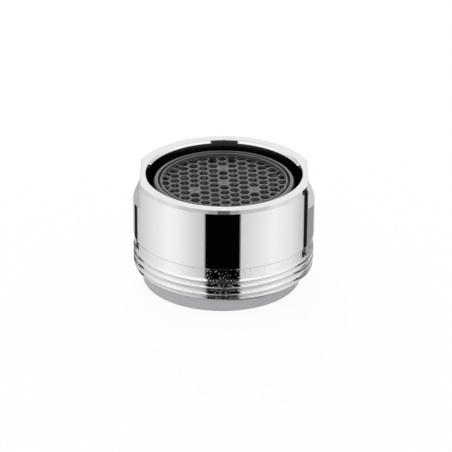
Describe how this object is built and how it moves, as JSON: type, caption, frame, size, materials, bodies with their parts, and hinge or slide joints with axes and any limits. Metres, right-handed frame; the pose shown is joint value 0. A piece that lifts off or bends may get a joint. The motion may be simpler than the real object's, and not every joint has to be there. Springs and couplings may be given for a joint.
{
  "type": "tap aerator",
  "caption": "Round chromed tap aerator with an outside thread, spanner flats, a grey sealing washer and a dark honeycomb outlet that mixes air into the water.",
  "frame": {"origin": "middle of the washer's sealing plane, on the thread's axis, where the aerator stands and where the spout's seat meets it", "axes": "+Z along the thread's axis from the inlet to the outlet face; the two spanner flats face +X and -X; -Y is the side towards the picture's camera"},
  "size_m": [0.024, 0.024, 0.0152],
  "materials": {
    "chrome_plate": "polished chrome plate on turned brass",
    "washer_rubber": "matte grey rubber",
    "dark_plastic": "moulded dark grey acetal",
    "strainer_plastic": "moulded natural acetal"
  },
  "bodies": {
    "root": {"housing": "chrome_plate", "sealing_washer": "washer_rubber", "insert_sleeve": "dark_plastic", "honeycomb_outlet": "dark_plastic", "inlet_mixing_grid": "dark_plastic", "outlet_mixing_grid": "dark_plastic", "jet_plate": "dark_plastic", "inlet_strainer": "strainer_plastic"}
  },
  "joints": []
}
